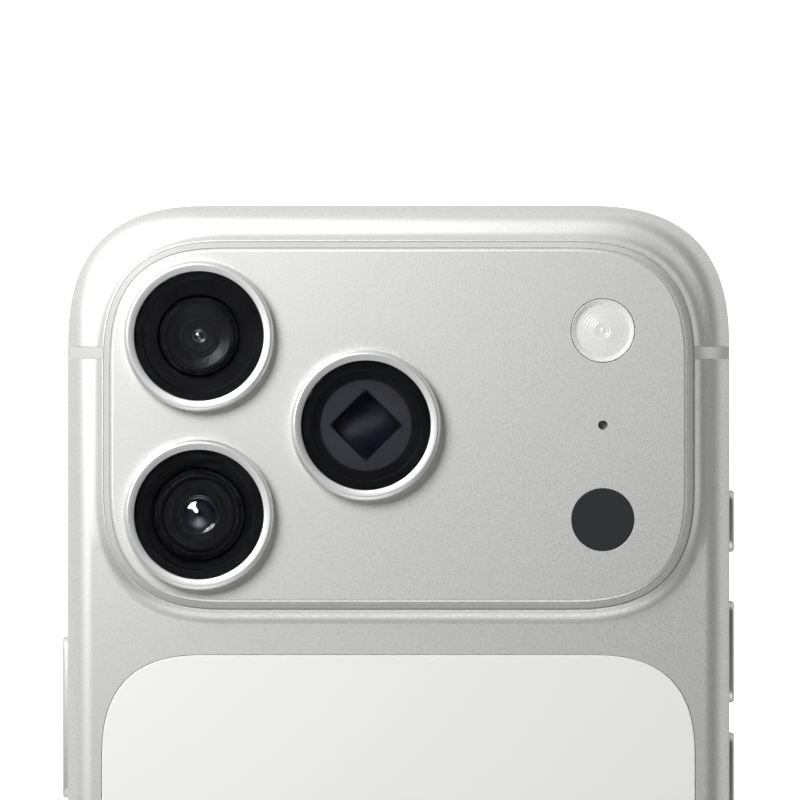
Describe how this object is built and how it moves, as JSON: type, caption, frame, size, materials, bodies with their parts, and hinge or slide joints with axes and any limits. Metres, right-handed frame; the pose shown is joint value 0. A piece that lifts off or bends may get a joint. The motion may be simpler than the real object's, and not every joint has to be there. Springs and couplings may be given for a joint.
{
  "type": "smartphone",
  "caption": "Slim metal-bodied smartphone with a raised camera plateau, a glass back panel, side keys, a card tray, a charging port and a glass display.",
  "frame": {"origin": "centre of the box round the whole phone, on the display face that it rests on", "axes": "+Z from the display out of the back, +Y along the length towards the camera end, +X towards the rail with the volume keys"},
  "size_m": [0.073, 0.15, 0.0132],
  "materials": {
    "body_metal": "matte",
    "antenna_plastic": "satin",
    "back_glass": "satin",
    "adhesive": "matte",
    "copper": "satin",
    "magnet": "satin",
    "ferrite": "matte",
    "battery_can": "satin",
    "board": "satin",
    "chip": "satin",
    "steel": "satin",
    "trim_metal": "satin",
    "lens_glass": "gloss",
    "camera_case": "matte",
    "lens_barrel": "satin",
    "prism_glass": "gloss",
    "sensor": "gloss",
    "stage": "satin",
    "flash_lens": "satin",
    "flash_board": "matte",
    "microphone": "satin",
    "front_glass": "gloss",
    "panel": "gloss",
    "speaker_plastic": "matte",
    "diaphragm": "satin",
    "mesh": "satin",
    "tungsten": "satin",
    "port_plastic": "satin",
    "flex": "satin",
    "camera_key": "gloss"
  },
  "bodies": {
    "phone_body": {"housing": "body_metal", "antenna_inserts": "antenna_plastic", "back_glass": "back_glass", "back_glass_adhesive": "adhesive", "display_gasket": "adhesive", "charging_coil": "copper", "vapour_chamber": "copper", "magnet_ring": "magnet", "charging_shield": "ferrite", "battery": "battery_can", "logic_board": "board", "processor_package": "chip", "board_shield": "steel", "internal_screws": "steel", "camera_bracket": "steel", "display_plate": "steel", "front_sensor_housing": "steel", "sim_reader": "steel", "port_shell": "steel", "motor_case": "steel", "ultra_wide_trim_ring": "trim_metal", "wide_trim_ring": "trim_metal", "tele_trim_ring": "trim_metal", "end_screws": "trim_metal", "ultra_wide_glass": "lens_glass", "wide_glass": "lens_glass", "tele_glass": "lens_glass", "scanner_window": "lens_glass", "ultra_wide_camera_case": "camera_case", "wide_camera_case": "camera_case", "tele_camera_case": "camera_case", "tele_prism": "prism_glass", "infrared_module": "sensor", "scanner_module": "sensor", "flash_lens": "flash_lens", "flash_board": "flash_board", "microphones": "microphone", "front_glass": "front_glass", "display_panel": "panel", "earpiece_enclosure": "speaker_plastic", "speaker_enclosure": "speaker_plastic", "acoustic_meshes": "mesh", "port_tongue": "port_plastic", "flex_circuits": "flex", "key_switches": "flex"},
    "action_key": {"action_key": "body_metal"},
    "volume_up_key": {"volume_up_key": "body_metal"},
    "volume_down_key": {"volume_down_key": "body_metal"},
    "side_key": {"side_key": "body_metal"},
    "camera_key": {"camera_key": "camera_key"},
    "sim_tray": {"sim_tray": "body_metal"},
    "ultra_wide_barrel": {"ultra_wide_barrel": "lens_barrel"},
    "wide_barrel": {"wide_barrel": "lens_barrel"},
    "tele_sensor": {"tele_sensor": "sensor"},
    "sensor_stage": {"sensor_stage": "stage"},
    "wide_sensor": {"wide_sensor": "sensor"},
    "front_camera_barrel": {"front_camera_barrel": "lens_barrel"},
    "motor_mass": {"motor_mass": "tungsten"},
    "speaker_diaphragm": {"speaker_diaphragm": "diaphragm"},
    "earpiece_diaphragm": {"earpiece_diaphragm": "diaphragm"}
  },
  "joints": [
    {"name": "action_press", "type": "slide", "parent": "phone_body", "child": "action_key", "axis": [-1, 0, 0], "range_m": [0, 0.00025], "stiffness_N_per_m": 6000},
    {"name": "volume_up_press", "type": "slide", "parent": "phone_body", "child": "volume_up_key", "axis": [-1, 0, 0], "range_m": [0, 0.00025], "stiffness_N_per_m": 6000},
    {"name": "volume_down_press", "type": "slide", "parent": "phone_body", "child": "volume_down_key", "axis": [-1, 0, 0], "range_m": [0, 0.00025], "stiffness_N_per_m": 6000},
    {"name": "side_press", "type": "slide", "parent": "phone_body", "child": "side_key", "axis": [1, 0, 0], "range_m": [0, 0.00025], "stiffness_N_per_m": 6000},
    {"name": "camera_press", "type": "slide", "parent": "phone_body", "child": "camera_key", "axis": [1, 0, 0], "range_m": [0, 0.00015], "stiffness_N_per_m": 12000},
    {"name": "tray_slide", "type": "slide", "parent": "phone_body", "child": "sim_tray", "axis": [1, 0, 0], "range_m": [0, 0.013]},
    {"name": "ultra_wide_focus", "type": "slide", "parent": "phone_body", "child": "ultra_wide_barrel", "axis": [0, 0, 1], "range_m": [0, 0.00035], "stiffness_N_per_m": 150},
    {"name": "wide_focus", "type": "slide", "parent": "phone_body", "child": "wide_barrel", "axis": [0, 0, 1], "range_m": [0, 0.00035], "stiffness_N_per_m": 150},
    {"name": "tele_focus", "type": "slide", "parent": "phone_body", "child": "tele_sensor", "axis": [0, 0, 1], "range_m": [-0.0001, 0.0001], "stiffness_N_per_m": 300},
    {"name": "sensor_shift_x", "type": "slide", "parent": "phone_body", "child": "sensor_stage", "axis": [1, 0, 0], "range_m": [-0.00025, 0.00025], "stiffness_N_per_m": 300},
    {"name": "sensor_shift_y", "type": "slide", "parent": "sensor_stage", "child": "wide_sensor", "axis": [0, 1, 0], "range_m": [-0.00025, 0.00025], "stiffness_N_per_m": 300},
    {"name": "front_focus", "type": "slide", "parent": "phone_body", "child": "front_camera_barrel", "axis": [0, 0, -1], "range_m": [0, 0.00008], "stiffness_N_per_m": 300},
    {"name": "motor_shake", "type": "slide", "parent": "phone_body", "child": "motor_mass", "axis": [1, 0, 0], "range_m": [-0.0005, 0.0005], "stiffness_N_per_m": 4400},
    {"name": "speaker_stroke", "type": "slide", "parent": "phone_body", "child": "speaker_diaphragm", "axis": [0, 0, 1], "range_m": [-0.0003, 0.0003], "stiffness_N_per_m": 500},
    {"name": "earpiece_stroke", "type": "slide", "parent": "phone_body", "child": "earpiece_diaphragm", "axis": [0, 0, 1], "range_m": [-0.0003, 0.0003], "stiffness_N_per_m": 500}
  ]
}
